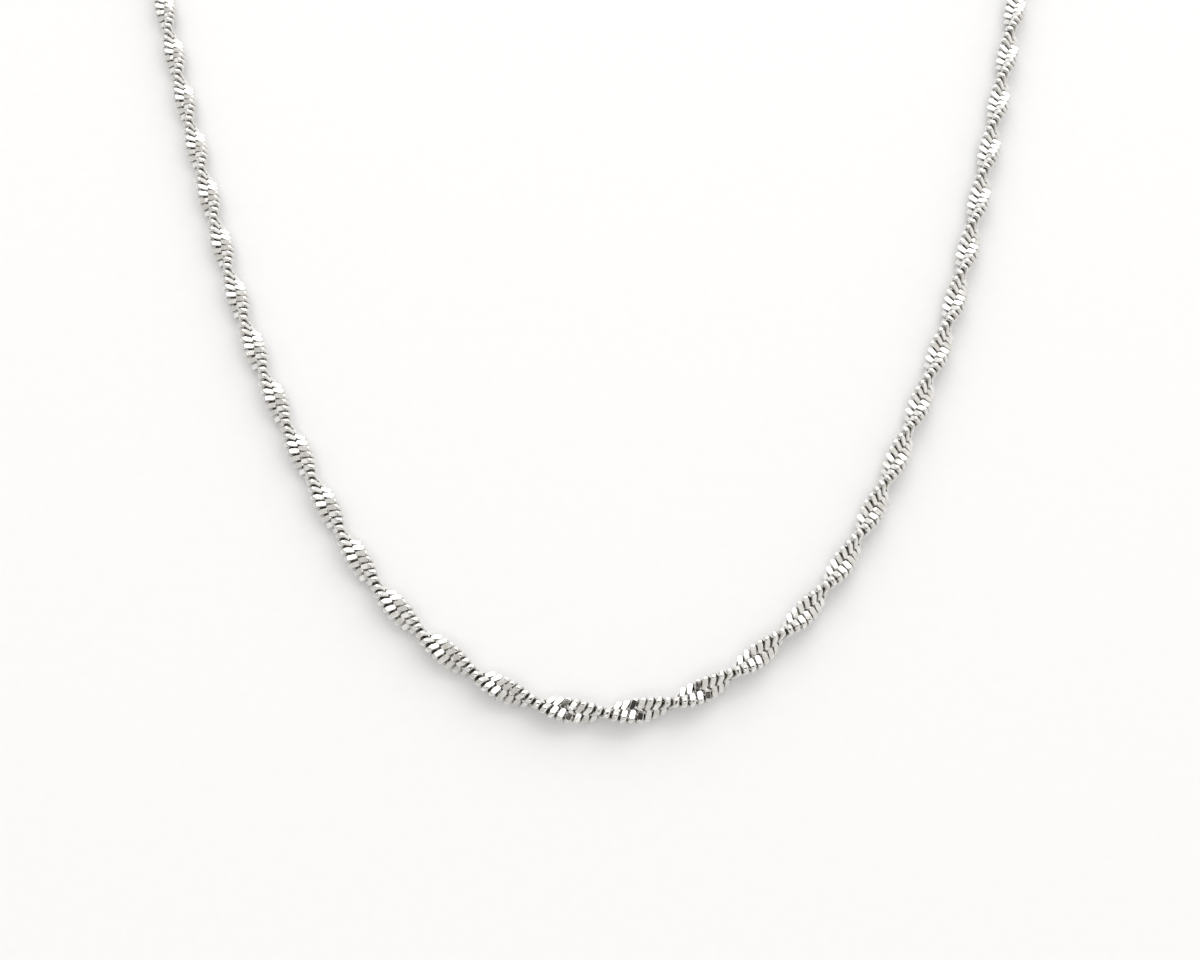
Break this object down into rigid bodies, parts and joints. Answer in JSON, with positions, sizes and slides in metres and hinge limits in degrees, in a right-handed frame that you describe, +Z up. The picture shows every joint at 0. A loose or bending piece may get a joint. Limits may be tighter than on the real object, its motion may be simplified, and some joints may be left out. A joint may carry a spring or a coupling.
{
  "type": "twisted chain necklace",
  "caption": "Closed necklace of tight curb chain twisted into a rope, with barrel end caps, rings and a plain hook clasp, lying flat in a drop-shaped loop.",
  "frame": {"origin": "middle of the loop's outline, on the surface that it lies on", "axes": "+X to the right, +Y from the front of the loop to the clasp at the back, +Z up"},
  "size_m": [0.1028, 0.1792, 0.0033],
  "materials": {
    "chain_steel": "bright polished facets",
    "fitting_steel": "bright polish"
  },
  "bodies": {
    "root": {"chain_left": "chain_steel", "chain_right": "chain_steel", "end_cap_left": "fitting_steel", "end_cap_right": "fitting_steel", "ring_left": "fitting_steel", "ring_right": "fitting_steel", "clasp": "fitting_steel"}
  },
  "joints": []
}
